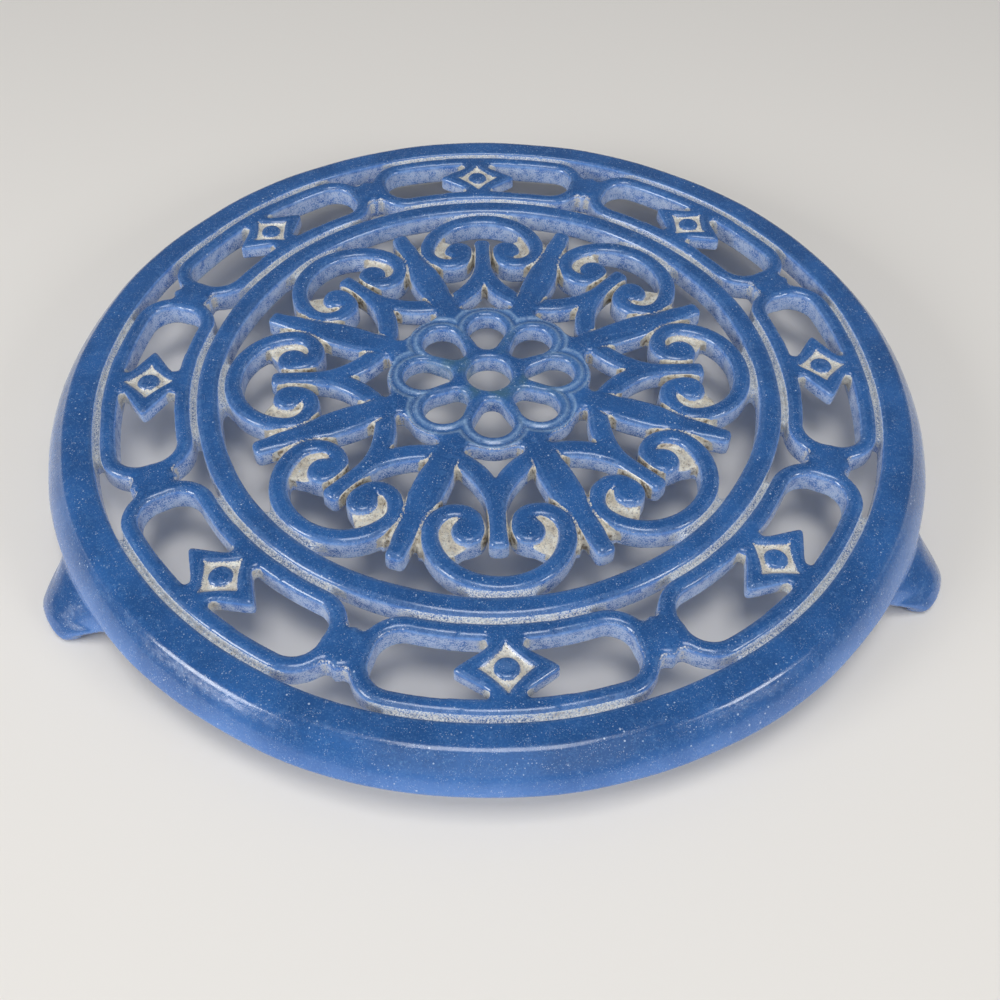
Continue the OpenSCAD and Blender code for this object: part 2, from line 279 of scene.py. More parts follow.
def long_outline():
    h = RAY_W / 2
    notch, belly = (NOTCH_R, NOTCH_W), (FIELD * 0.645, h)
    side = [(RAY_ROOT, NOTCH_W * 1.2), notch]
    side += [bend(notch, (FIELD * 0.535, h * 1.08), belly, i / 4) for i in (1, 2, 3, 4)]
    waist, end = (FIELD * 0.71, h * 0.93), (FIELD * 0.86, RAY_TIP / 2 * 1.04)
    side += [bend(side[-1], waist, end, i / 4) for i in (1, 2, 3, 4)]
    side += ray_tip(LONG_R)
    return [turned(p, UNIT / 2) for p in side + flip(side)[1:]]


def short_outline():
    foot = turned((NOTCH_R, -NOTCH_W), UNIT / 2)
    waist, end = (FIELD * 0.565, FIELD * 0.034), (FIELD * 0.66, RAY_TIP / 2)
    side = [(RAY_ROOT, foot[1])] + [bend(foot, waist, end, i / 9) for i in range(10)]
    side += ray_tip(SHORT_R)
    return side + flip(side)[1:]


LOBE_C, LOBE_R = FIELD * 0.2514, FIELD * 0.1138
PETAL = (LOBE_R - PETAL_WALL) * 2
HOLE = (LOBE_C - LOBE_R - HOLE_WALL) * 2


def petal_outline():
    """A teardrop: a wide and a narrow arc that touch the same two lines."""
    wide_r, narrow_r = PETAL / 2, PETAL * 0.29
    wide_c, narrow_c = LOBE_C - PETAL * 0.02, LOBE_C - PETAL * 0.49
    touch = math.degrees(math.acos((narrow_r - wide_r) / (wide_c - narrow_c)))
    side = arc((wide_c, 0), wide_r, 0, touch) + arc((narrow_c, 0), narrow_r, touch, 180)
    return side + flip(side)


def window_outline():
    apex, corner, under = (FIELD * 0.509, 0), (FIELD * 0.395, FIELD * 0.099), (FIELD * 0.371, FIELD * 0.089)
    side = [bend(apex, (FIELD * 0.447, FIELD * 0.031), corner, i / 7) for i in range(8)]
    side += [np.array(((corner[0] + under[0]) / 2, corner[1] + (corner[0] - under[0]) / 5)), np.array(under)]
    return side + flip(side)


# The plan distances of half a unit, kept as tables
PLAN_STEP = 0.2
PLAN_X = np.arange(0.03, 108, PLAN_STEP)
PLAN_Y = np.arange(-1.03, 46, PLAN_STEP)


def floor_table(x, y, r, line):
    """The floors between the bars of the scroll: in the volute, where it meets the ring, and at the rays."""
    cut = (x - 0.7 * y - FIELD * 0.725) * 0.82
    volute = smax(disc(x, y, VOLUTE_C, VOLUTE_R), cut, BULB_FILLET)
    volute = smax(volute, line - SCROLL_W * 1.6, VOLUTE_FILLET)
    near_ring = np.maximum(BOW_C[0] + BOW_R * 0.9 - x, r - FIELD - 1)
    seat = smax(line - SCROLL_W / 2 + FIELD - r - 2.2, near_ring, SEAT_FILLET)
    c, s = math.cos(math.radians(UNIT / 2)), math.sin(math.radians(UNIT / 2))
    out_along, aside = x * c + y * s, -x * s + y * c
    contact = np.maximum(np.abs(aside) - SCROLL_W, np.abs(out_along - FIELD * 0.785) - FIELD * 0.07)
    return np.minimum(np.minimum(volute, seat), np.maximum(contact, line - SCROLL_W / 2 - 1.0))


def plan_tables():
    x, y = np.meshgrid(PLAN_X, PLAN_Y, indexing="ij")
    r = np.hypot(x, y)
    t = {}
    link_full = shape(x, y, link_outline(STRAND, LINK_OUT, LINK_IN))
    link_open = shape(x, y, link_outline(0, OPEN_OUT, OPEN_IN))
    t["link"] = smax(link_full, -link_open, CRISP)
    t["web"] = shape(x, y, web_outline())
    between = np.maximum(r - OPEN_OUT - STRAND / 2, OPEN_IN - STRAND / 2 - r)
    t["boss"] = smax(shape(x, y, boss_outline()), between, CRISP)
    t["hollow"] = shape(x, y, hollow_outline())
    t["pip"] = disc(x, y, (BELT, 0), PIP / 2)
    line, _ = along(x, y, scroll_line(), False)
    t["scroll"] = smin(line - SCROLL_W / 2, disc(x, y, EYE_C, EYE / 2), BULB_FILLET)
    t["floor"] = floor_table(x, y, r, line)
    t["long"] = shape(x, y, long_outline())
    t["short"] = shape(x, y, short_outline())
    lobe = disc(x, y, (LOBE_C, 0), LOBE_R)
    next_lobe = disc(x, y, polar(LOBE_C, UNIT), LOBE_R)
    t["lobes"] = np.minimum(np.minimum(lobe, next_lobe), r - LOBE_C)
    window = smax(shape(x, y, window_outline()), -(lobe - FIELD * 0.0195), WINDOW_FILLET)
    t["holes"] = np.minimum(np.minimum(shape(x, y, petal_outline()), r - HOLE / 2), window)
    return t


def look_up(t, x, y, x0, y0, pace):
    """The value at x, y of a table that starts at x0, y0."""
    fx = np.clip((x - x0) / pace, 0, t.shape[0] - 1.001)
    fy = np.clip((y - y0) / pace, 0, t.shape[1] - 1.001)
    i, j = fx.astype(int), np.asarray(fy).astype(int)
    u, v = fx - i, fy - j
    return (t[i, j] * (1 - u) * (1 - v) + t[i + 1, j] * u * (1 - v)
            + t[i, j + 1] * (1 - u) * v + t[i + 1, j + 1] * u * v)


# The section of the rim, in r and z
SECTION_STEP = 0.15
SECTION_R = np.arange(98, 128, SECTION_STEP)
SECTION_Z = np.arange(-28, 3, SECTION_STEP)


def rim_outline():
    lip = RIM_WALL / 3
    turn_c = np.array((RIM_R - RIM_FLARE - RIM_TURN / 2, -RIM_TURN))
    lip_c = np.array((RIM_R - lip, -RIM_H + lip))
    lip_in = np.array((RIM_R - RIM_WALL + lip, -RIM_H + lip))
    d = lip_c - turn_c
    out = math.degrees(math.atan2(d[1], d[0]) + math.acos((RIM_TURN - lip) / np.hypot(*d)))
    start, end = turn_c + polar(RIM_TURN, out), lip_c + polar(lip, out)
    ways = np.linspace(0, 1, 9)[1:-1]
    wall = [start + (end - start) * t + polar(RIM_SWELL * t * (1 - t), out) for t in ways]
    foot = lip_in + polar(lip, out - 180)
    rise = foot[1] + BAR
    under = [foot - np.array((rise / math.tan(math.radians(out + 90)), rise)), np.array((RIM_IN, -BAR))]
    return (arc((RIM_IN + 1.0, -1.0), 1.0, 180, 90, 15) + arc(turn_c, RIM_TURN, 90, out, 8) + wall
            + arc(lip_c, lip, out, -90, 12) + arc(lip_in, lip, -90, out - 180, 12) + under)


TABLES = plan_tables()
RIM_TABLE = shape(*np.meshgrid(SECTION_R, SECTION_Z, indexing="ij"), rim_outline())


# Distances in space
def rim_field(r, z):
    d = look_up(RIM_TABLE, r, z, SECTION_R[0], SECTION_Z[0], SECTION_STEP)
    return d + np.maximum(SECTION_R[0] - r, 0) + np.maximum(r - SECTION_R[-1], 0)


def slab(d, z, top, bottom, r=EDGE):
    """A bar with the plan distance d, a rounded top edge and a little draft."""
    d = d - DRAFT * np.maximum(top - z, 0)
    u, v = d + r, z - top + r
    up = np.minimum(np.maximum(u, v), 0) + np.hypot(np.maximum(u, 0), np.maximum(v, 0)) - r
    return smax(up, bottom - z, UNDER_EDGE)


class Plan:
    """What depends on x and y alone, kept while z changes."""

    def __init__(self, x, y):
        self.x = x + WAVER * (np.sin(y / 7.3 + 1.1) + np.sin((x + y) / 11.9))
        self.y = y + WAVER * (np.sin(x / 8.1 + 0.4) + np.sin((x - y) / 12.7 + 2.0))
        self.r = np.hypot(self.x, self.y)
        self.a = np.degrees(np.arctan2(self.y, self.x))
        unit = np.mod(self.a + 90, UNIT)
        fold = np.where(unit > UNIT / 2, UNIT - unit, unit)
        self.fx = self.r * np.cos(np.radians(fold))
        self.fy = self.r * np.sin(np.radians(fold))
        self.unit = np.mod(np.round((self.a + 90) / UNIT).astype(int) - 1, UNITS) + 1
        self.between = np.mod(np.floor((self.a + 90) / UNIT).astype(int) - 1, UNITS) + 1
        for name, t in TABLES.items():
            setattr(self, name, look_up(t, self.fx, self.fy, PLAN_X[0], PLAN_Y[0], PLAN_STEP))
        self.frieze = smin(self.link, self.web, WEB_FILLET)
        self.boss_all = np.where(self.boss < BOSS_NEAR, smin(self.boss, self.link, NECK_FILLET), self.boss)
        self.set_tops()
        rays = smin(self.long, self.short, RAY_FILLET)
        self.star = smax(smin(rays, self.lobes, LOBE_FILLET), -self.holes, HOLE_FILLET)
        self.uneven = (0.05 * np.sin(x / 9.0 + 0.7) * np.sin(y / 8.3 + 0.2)
                       + 0.04 * np.sin(x / 4.1 + y / 5.7) + 0.03 * np.sin(y / 3.3 - x / 6.1))
        self.uneven = self.uneven - self.uneven.max()

    def set_tops(self):
        """How far the tops sink: in the hollow of a boss, at the welds and round the rosette's lobes."""
        dent = HOLLOW * step(-self.hollow, -0.45, 1.0)
        pip = step(-self.pip, -0.45, 0.35)
        self.boss_top = -dent * (1 - pip) - PIP_DROP * pip
        weld = np.exp(-(self.scroll / WELD_W) ** 2) * step(-self.long, -0.9, 0.1)
        valley = np.exp(-(np.abs(self.lobes) / VALLEY_W) ** 2) * step(self.holes, 0.0, 0.9)
        self.scroll_top = -WELD_D * weld
        self.star_top = -VALLEY_D * valley - WELD_D * weld


def floor_fields(p, z):
    """The distances to the floors of the two grooves and to those of the scrolls."""
    fold = np.degrees(np.arctan2(p.fy, p.fx))
    out_end = (fold - CORNER_OUT_A) * math.radians(1) * LINK_OUT
    in_end = (fold - CORNER_IN_A) * math.radians(1) * LINK_IN
    outer = smax(np.maximum(LINK_OUT - STRAND / 2 - p.r, p.r - RIM_IN - 1), out_end, FLOOR_END)
    inner = smax(np.maximum(RING_OUT - 1 - p.r, p.r - LINK_IN - STRAND / 2), in_end, FLOOR_END)
    return (slab(np.minimum(outer, inner), z, -GROOVE_D, -BAR, FLOOR_EDGE),
            slab(p.floor, z, -GROOVE_D, -BAR, FLOOR_EDGE))


# Shares that shape a foot: depth under the top, reach of its outer and inner face, width, fullness
FOOT_SHARES = np.array([
    [0.350, -0.30, -0.46, 2.95, 0.00],
    [0.425, -0.10, -0.43, 2.90, 0.00],
    [0.498, 0.15, -0.38, 2.76, 0.00],
    [0.550, 0.30, -0.35, 2.60, 0.10],
    [0.625, 0.50, -0.27, 2.27, 0.20],
    [0.700, 0.70, -0.19, 1.87, 0.35],
    [0.775, 0.86, 0.02, 1.53, 0.55],
    [0.850, 0.96, 0.20, 1.27, 0.75],
    [0.900, 1.00, 0.27, 1.15, 0.90],
    [0.960, 0.96, 0.31, 1.09, 1.00],
    [1.000, 0.84, 0.34, 1.03, 1.00]])
FOOT_TOP = HEIGHT * FOOT_SHARES[0, 0]
FLARE_LEAN = 0.8
FAR = 50.0


def turn_from(p, a):
    """The angle from the direction a, between -180 and 180 degrees."""
    return np.mod(p.a - a + 180, 360) - 180


def foot_field(p, z):
    """The distance to the feet: a toe that is drawn out to both sides into a thin flare."""
    depth = -z / HEIGHT
    out, inn, wide, full = (np.interp(depth, FOOT_SHARES[:, 0], FOOT_SHARES[:, k]) for k in (1, 2, 3, 4))
    w = wide * TOE_W / 2
    best = np.full(p.r.shape, FAR)
    for a in FEET:
        s = np.radians(turn_from(p, a)) * RIM_R
        u = np.clip(np.abs(s) / w, 0, 1)
        form = (1 - full) * np.cos(np.pi / 2 * u) ** 2 + full * np.sqrt(1 - u ** 4)
        reach = RIM_R + TOE_REACH * (inn + (out - inn) * (0.9 * form + 0.1))
        d = smax((p.r - reach) * FLARE_LEAN, (RIM_R + TOE_REACH * inn - p.r) * FLARE_LEAN, 1.0)
        best = np.minimum(best, smax(d, (np.abs(s) - w) * FLARE_LEAN, 2.0))
    return smax(smax(best, -HEIGHT - z, 1.0), z + FOOT_TOP, 0.5)


def casting(p, z):
    """The distance to the whole casting at height z."""
    floor_link, floor_scroll = floor_fields(p, z)
    frieze = slab(p.frieze, z, 0.0, -BAR)
    boss = slab(p.boss_all, z, p.boss_top, -BOSS_D, BOSS_EDGE)
    ring = slab(np.abs(p.r - RING_MID) - RING_W / 2, z, 0.0, -BAR, RING_EDGE)
    skirt = smin(rim_field(p.r, z), foot_field(p, z), FOOT_FILLET)
    scroll = slab(p.scroll, z, p.scroll_top, -BAR)
    star = slab(p.star, z, p.star_top, -STAR_D)
    body = np.minimum(np.minimum(smin(frieze, boss, BOSS_FILLET), ring), skirt)
    body = smin(body, floor_link, GROOVE_FILLET)
    body = np.minimum(body, np.minimum(scroll, star))
    return smin(body, floor_scroll, SCROLL_FILLET) - p.uneven * UNEVEN


# The surface: one point in each cell that it cuts
CORNERS = [(i, j, k) for i in (0, 1) for j in (0, 1) for k in (0, 1)]


def field_values(h):
    """The field on a grid of cells of h mm, and the place where the grid starts."""
    xs = np.arange(-RIM_R - TOE_REACH - 2 * h, RIM_R + TOE_REACH + 3 * h, h)
    zs = np.arange(-HEIGHT - 1.5 * h, 1.5 * h + 0.01, h)
    plan = Plan(*np.meshgrid(xs, xs, indexing="ij"))
    values = np.empty((len(xs), len(xs), len(zs)), np.float32)
    for k, z in enumerate(zs):
        values[:, :, k] = casting(plan, z)
    return values, np.array([xs[0], xs[0], zs[0]])


def points_in(values, cells):
    """For each cell, the middle of the places where the surface cuts its edges."""
    place = np.zeros((len(cells), 3))
    hits = np.zeros(len(cells))
    for axis in range(3):
        for c in CORNERS:
            if c[axis]:
                continue
            d = list(c)
            d[axis] = 1
            va = values[cells[:, 0] + c[0], cells[:, 1] + c[1], cells[:, 2] + c[2]]
            vb = values[cells[:, 0] + d[0], cells[:, 1] + d[1], cells[:, 2] + d[2]]
            cut = (va < 0) != (vb < 0)
            t = np.where(cut, va / np.where(cut, va - vb, 1), 0)
            spot = np.array(c, float)[None, :].repeat(len(cells), 0)
            spot[:, axis] += t
            place[cut] += spot[cut]
            hits += cut
    return place / hits[:, None] + cells


def quads_between(inside, index):
    """A quad round each grid edge that the surface cuts, over the points of the four cells beside it."""
    n = index.shape
    quads = []
    for axis in range(3):
        a, b = [k for k in range(3) if k != axis]
        lo = [slice(None)] * 3
        hi = [slice(None)] * 3
        lo[axis], hi[axis] = slice(0, -1), slice(1, None)
        here, beyond = inside[tuple(lo)], inside[tuple(hi)]
        at = np.argwhere(here != beyond)
        at = at[(at[:, a] > 0) & (at[:, b] > 0) & (at[:, a] < n[a]) & (at[:, b] < n[b])]
        corners = []
        for da, db in ((1, 1), (0, 1), (0, 0), (1, 0)):
            cell = at.copy()
            cell[:, a] -= da
            cell[:, b] -= db
            corners.append(index[cell[:, 0], cell[:, 1], cell[:, 2]])
        corners = np.stack(corners, 1)
        first_in = here[at[:, 0], at[:, 1], at[:, 2]]
        outward = first_in if axis != 1 else ~first_in
        quads.append(np.where(outward[:, None], corners, corners[:, ::-1]))
    return np.concatenate(quads)


def surface(values):
    """The points of the surface, in cells, and its quads."""
    inside = values < 0
    n = tuple(size - 1 for size in values.shape)
    count = np.zeros(n, np.uint8)
    for i, j, k in CORNERS:
        count += inside[i:i + n[0], j:j + n[1], k:k + n[2]]
    active = (count > 0) & (count < len(CORNERS))
    cells = np.argwhere(active)
    index = np.full(n, -1, np.int64)
    index[active] = np.arange(len(cells))
    return points_in(values, cells), quads_between(inside, index)


def sample(values, q):
    """The field at the grid place q; past the grid's ends it grows with the way to them."""
    inner = np.clip(q, 0, np.array(values.shape) - 1.001)
    i = inner.astype(int)
    f = inner - i
    out = np.linalg.norm(q - inner, axis=1) * CELL
    for c in CORNERS:
        wx, wy, wz = (f[:, k] if c[k] else 1 - f[:, k] for k in range(3))
        out = out + wx * wy * wz * values[i[:, 0] + c[0], i[:, 1] + c[1], i[:, 2] + c[2]]
    return out


def slope(values, q, e):
    g = np.stack([sample(values, q + axis * e) - sample(values, q - axis * e) for axis in np.eye(3)], 1)
    return g / np.maximum(np.linalg.norm(g, axis=1, keepdims=True), 1e-9)


def open_air(values, q, normals, d):
    """How free the space is at d mm off the surface: 1 in the open, 0 deep in a crease."""
    return sample(values, q + normals * (d / CELL)) / d


def bend_of(values, q, e):
    """How strongly the surface curves, per mm: above 0 on an edge, below 0 in a crease."""
    total = -6 * sample(values, q)
    for axis in np.eye(3):
        total = total + sample(values, q + axis * e) + sample(values, q - axis * e)
    return total / (e * CELL) ** 2


def mesh_of(name, points, faces):
    """A mesh from points in metres and faces that all have the same number of corners."""
    mesh = bpy.data.meshes.new(name)
    mesh.vertices.add(len(points))
    mesh.vertices.foreach_set("co", points.astype(np.float32).ravel())
    mesh.loops.add(faces.size)
    mesh.loops.foreach_set("vertex_index", faces.astype(np.int32).ravel())
    mesh.polygons.add(len(faces))
    mesh.polygons.foreach_set("loop_start", np.arange(0, faces.size, faces.shape[1], dtype=np.int32))
    mesh.update(calc_edges=True)
    return mesh


def points_of(mesh):
    co = np.empty(len(mesh.vertices) * 3, np.float32)
    mesh.vertices.foreach_get("co", co)
    return co.reshape(-1, 3)


def added(name, data):
    ob = bpy.data.objects.new(name, data)
    bpy.context.collection.objects.link(ob)
    return ob


# What the surface keeps of its faces, and how far the marks look round, in mm
KEPT_SHARE = 0.42
CREASE_NEAR, CREASE_FAR = 0.9, 1.8
SHELTER_REACH = 3.0
CURVE_REACH = 1.2
OUTLINE_OFF, OUTLINE_W = 0.9, 0.45


def thinned(mesh):
    """The mesh with fewer faces where it is plain."""
    ob = added("trivet_casting", mesh)
    ob.modifiers.new("thin", "DECIMATE").ratio = KEPT_SHARE
    deps = bpy.context.evaluated_depsgraph_get()
    fewer = bpy.data.meshes.new_from_object(ob.evaluated_get(deps))
    bpy.data.objects.remove(ob)
    bpy.data.meshes.remove(mesh)
    return fewer


def marks_of(values, q, normals, spot):
    """What each point knows of its place, for the material to read."""
    near, far, wide = (open_air(values, q, normals, d) for d in (CREASE_NEAR, CREASE_FAR, SHELTER_REACH))
    curve = bend_of(values, q, CURVE_REACH)
    lobes = Plan(spot[:, 0], spot[:, 1]).lobes
    off = np.abs(np.abs(lobes) - OUTLINE_OFF) / OUTLINE_W
    marks = {"crease": 1 - (near + far) / 2, "shelter": 1 - wide, "ridge": curve, "seam": -curve,
             "outline": np.exp(-off ** 2)}
    return {name: np.clip(v, 0, 1).astype(np.float32) for name, v in marks.items()}


def cast():
    """The mesh of the whole casting, with the normal and the marks of each of its points."""
    values, start = field_values(CELL)
    place, quads = surface(values)
    for _ in range(2):
        way = sample(values, place) / CELL
        place -= np.clip(way, -0.4, 0.4)[:, None] * slope(values, place, 0.5)
    mesh = mesh_of("casting", (place * CELL + start) * MM, quads)
    mesh.validate()
    mesh = thinned(mesh)
    spot = points_of(mesh) / MM
    q = (spot - start) / CELL
    normals = slope(values, q, 0.8)
    return mesh, normals, marks_of(values, q, normals, spot)


# The casting cut into its named forms
IN_EACH_UNIT = ("frieze_link", "link_web", "lozenge_boss", "scroll")
MIDDLE = ["star", "rosette"]
NUMBERED = ["%s_%d" % (form, i) for form in IN_EACH_UNIT for i in range(1, UNITS + 1)]
NAMES = ["outer_rim", "inner_ring"] + NUMBERED + MIDDLE + ["foot_1", "foot_2", "foot_3"]


def owner(p, z):
    """The number of the form that each point belongs to: the one whose outline in the plan lies deepest."""
    own = [RIM_IN - p.r, np.abs(p.r - RING_MID) - RING_W / 2, p.link, p.web, p.boss, p.scroll,
           np.minimum(np.minimum(p.long, p.short), p.lobes)]
    kind = np.argmin(own, 0)
    firsts = ("outer_rim", "inner_ring", "frieze_link_1", "link_web_1", "lozenge_boss_1", "scroll_1", "star")
    label = np.array([NAMES.index(name) for name in firsts])[kind]
    of_unit = (kind == 2) | (kind == 4) | (kind == 5)
    label = label + np.select([kind == 3, of_unit, kind == 6], [p.between - 1, p.unit - 1, p.lobes < 0], 0)
    nearest = np.argmin([np.abs(turn_from(p, a)) for a in FEET], 0)
    foot = foot_field(p, z)
    return np.where((foot < rim_field(p.r, z)) & (foot < FOOT_NEAR), NAMES.index("foot_1") + nearest, label)


def neighbours(tri, points):
    """For each edge of each triangle, the triangle on its other side."""
    a, b = tri.ravel(), np.roll(tri, -1, 1).ravel()
    key = np.minimum(a, b).astype(np.int64) * points + np.maximum(a, b)
    order = np.argsort(key, kind="stable")
    same = key[order[1:]] == key[order[:-1]]
    face = np.arange(len(key)) // 3
    other = face.copy()
    other[order[:-1][same]] = face[order[1:][same]]
    other[order[1:][same]] = face[order[:-1][same]]
    return other.reshape(-1, 3)


def islands(label, beside):
    """For each triangle, the lowest number in its island of triangles with the same label."""
    part = np.arange(len(label))
    while True:
        near = np.where(label[beside] == label[:, None], part[beside], part[:, None])
        new = np.minimum(part, near.min(1))
        new = new[new]
        if (new == part).all():
            return part
        part = new


def settle(label, beside):
    """Smooth the borders between the forms and give stray islands to the form around them."""
    for _ in range(4):
        near = label[beside]
        for i, j in ((0, 1), (1, 2), (0, 2)):
            label = np.where(near[:, i] == near[:, j], near[:, i], label)
    part = islands(label, beside)
    size = np.bincount(part, minlength=len(part))
    most = np.zeros(len(NAMES), np.int64)
    np.maximum.at(most, label, size[part])
    stray = size[part] < most[label]
    while stray.any():
        free = ~stray[beside]
        found = stray & free.any(1)
        if not found.any():
            break
        pick = beside[np.arange(len(beside)), np.argmax(free, 1)]
        label = np.where(found, label[pick], label)
        stray = stray & ~found
    return label


def rims_of(faces, points):
    """The closed borders of a patch of triangles, each as its points in the faces' own direction."""
    a, b = faces.ravel().astype(np.int64), np.roll(faces, -1, 1).ravel().astype(np.int64)
    forth, times = np.unique(a * points + b, return_counts=True)
    back, times_back = np.unique(b * points + a, return_counts=True)
    at = np.clip(np.searchsorted(back, forth), 0, len(back) - 1)
    left = times - np.where(back[at] == forth, times_back[at], 0)
    after = {}
    for k, n in zip(forth[left > 0], left[left > 0]):
        after.setdefault(int(k // points), []).extend([int(k % points)] * int(n))
    loops = []
    while after:
        loop = [next(iter(after))]
        while True:
            ways = after[loop[-1]]
            onward = ways.pop()
            if not ways:
                del after[loop[-1]]
            if onward == loop[0]:
                break
            loop.append(onward)
        loops.append(loop)
    return loops


def zip_up(one, two, at_one, at_two):
    """Triangles between two rows of points, whichever lags behind going on."""
    out, i, j = [], 0, 0
    while i < len(one) - 1 or j < len(two) - 1:
        if j >= len(two) - 1 or (i < len(one) - 1 and at_one[i + 1] <= at_two[j + 1]):
            out.append((one[i], one[i + 1], two[j]))
            i += 1
        else:
            out.append((two[j + 1], two[j], one[i]))
            j += 1
    return out


def progress(pts):
    """How far along its row each point is, from 0 to 1."""
    d = np.concatenate([[0], np.cumsum(np.linalg.norm(np.diff(pts, axis=0), axis=1))])
    return d / max(d[-1], 1e-9)


def lid(loop, co):
    """Close a border: it is parted at its two farthest ends and the halves are zipped up."""
    rim = loop[::-1]
    if len(rim) < 3:
        return []
    pts = co[rim]
    flat = pts - pts.mean(0)
    at = flat @ np.linalg.svd(flat, full_matrices=False)[2][0]
    k = int(np.argmin(at))
    rim, at = rim[k:] + rim[:k], np.roll(at, -k)
    m = min(max(int(np.argmax(at)), 1), len(rim) - 2) if len(rim) > 3 else 1
    one, two = rim[:m + 1], rim[m + 1:][::-1]
    return [(one[0], one[1], two[0])] + zip_up(one[1:], two, at[1:m + 1], at[m + 1:][::-1])


def sleeve(top, low, co):
    """Close a tube between an upper and a lower border that both go round the middle."""
    rows, ways = [], []
    for loop in (top[::-1], low):
        k = int(np.argmin(np.abs(np.arctan2(co[loop][:, 1], co[loop][:, 0]))))
        rows.append(loop[k:] + loop[:k] + [loop[k]])
        ways.append(progress(co[rows[-1]]))
    return zip_up(*rows, *ways)


def caps_of(name, loops, co):
    """The inner faces that close a form where the casting is cut."""
    caps = []
    if name in MIDDLE:
        round_it = [k for k in loops if np.ptp(np.unwrap(np.arctan2(co[k][:, 1], co[k][:, 0]))) > 5]
        if len(round_it) == 2:
            top, low = sorted(round_it, key=lambda k: -co[k][:, 2].mean())
            caps += sleeve(top, low, co)
            loops = [k for k in loops if k is not top and k is not low]
    for loop in loops:
        caps += lid(loop, co)
    caps = np.array(caps, np.int32).reshape(-1, 3)
    return caps[(caps != np.roll(caps, 1, 1)).all(1)]


def piece_of(name, faces, caps, co, normals, marks):
    """One form as an object: its share of the casting's surface and its flat inner faces."""
    used, local = np.unique(np.concatenate([faces, caps]), return_inverse=True)
    mesh = mesh_of(name + "_casting", co[used], local.reshape(-1, 3))
    ends = co[caps].astype(float)
    side = np.cross(ends[:, 1] - ends[:, 0], ends[:, 2] - ends[:, 0])
    side /= np.maximum(np.linalg.norm(side, axis=1, keepdims=True), 1e-12)
    corner = np.concatenate([normals[faces].reshape(-1, 3), np.repeat(side, 3, 0)])
    for key, values in marks.items():
        mesh.attributes.new(key, "FLOAT", "POINT").data.foreach_set("value", values[used])
    mesh.polygons.foreach_set("use_smooth", np.ones(len(mesh.polygons), bool))
    mesh.normals_split_custom_set([tuple(v) for v in corner])
    return added(name + "_casting", mesh)


def cut_up(mesh, normals, marks):
    """Part the casting into closed pieces, one for each named form, that meet without a gap."""
    mesh.calc_loop_triangles()
    tri = np.empty(len(mesh.loop_triangles) * 3, np.int32)
    mesh.loop_triangles.foreach_get("vertices", tri)
    tri = tri.reshape(-1, 3)
    co = points_of(mesh)
    middle = co[tri].mean(1).astype(float) / MM
    label = owner(Plan(middle[:, 0], middle[:, 1]), middle[:, 2])
    label = settle(label, neighbours(tri, len(co)))
    for n, name in enumerate(NAMES):
        faces = tri[label == n]
        caps = caps_of(name, rims_of(faces, len(co)), co)
        yield name, piece_of(name, faces, caps, co, normals, marks)


# Tones of the enamel and of what lies on it, in 8-bit sRGB
TONES = {
    "flat_deep": (26, 78, 138), "flat": (38, 93, 158), "flat_worn": (62, 112, 170),
    "flat_speck": (96, 146, 190), "flat_dark": (20, 60, 104),
    # The wall and skirt tones are lighter than the flat ones: partly paler enamel, partly painted light.
    "wall_deep": (62, 114, 188), "wall": (112, 154, 214),
    "skirt_deep": (58, 108, 178), "skirt": (80, 128, 198), "skirt_speck": (118, 160, 212),
    "powder": (208, 219, 238), "edge_line": (142, 178, 226), "outline": (158, 188, 218),
    "haze_thin": (140, 172, 212), "haze": (232, 236, 240),
    "cream": (230, 222, 198), "cream_old": (196, 178, 140), "cream_spot": (128, 104, 70),
    "dirt": (92, 72, 46), "crumb": (70, 54, 34), "grease": (78, 108, 86), "dust": (190, 206, 230),
    "floor": (236, 232, 226)}

# Noises by name: grains per metre, detail, roughness
NOISES = {
    "fine": (2400, 2, 0.6), "grain": (1100, 3, 0.65), "mid": (420, 4, 0.6), "big": (60, 3, 0.5),
    "frost": (2800, 3, 0.65), "spot": (900, 3, 0.7), "patch": (38, 3, 0.6), "dirt": (700, 3, 0.65),
    "crumb": (1700, 3, 0.7), "grease": (75, 3, 0.6)}

# Specks of dust by size: grains per metre, least and greatest reach of a speck, how much it covers
DUST = ((2600, 0.08, 0.27, 0.42), (1150, 0.05, 0.20, 0.45), (480, 0.02, 0.12, 0.7))

MARKS = ("crease", "shelter", "ridge", "seam", "outline")

# The radii, in mm, between which a tone sets in
OPENWORK_R = (RIM_IN + 1.7, RIM_IN + 0.3)
GROOVES_R = (FIELD - 5.0, FIELD - 1.0)
RAYS_R = (FIELD - 5.0, FIELD - 10.0)
WELDS_R = (27.0, 34.0)
GREASE_R = (26.0, 6.0)
BOSS_REACH = (8.2, 7.2)


def tone(name):
    def linear(v):
        v /= 255
        return v / 12.92 if v <= 0.04045 else ((v + 0.055) / 1.055) ** 2.4
    return (*(linear(v) for v in TONES[name]), 1)


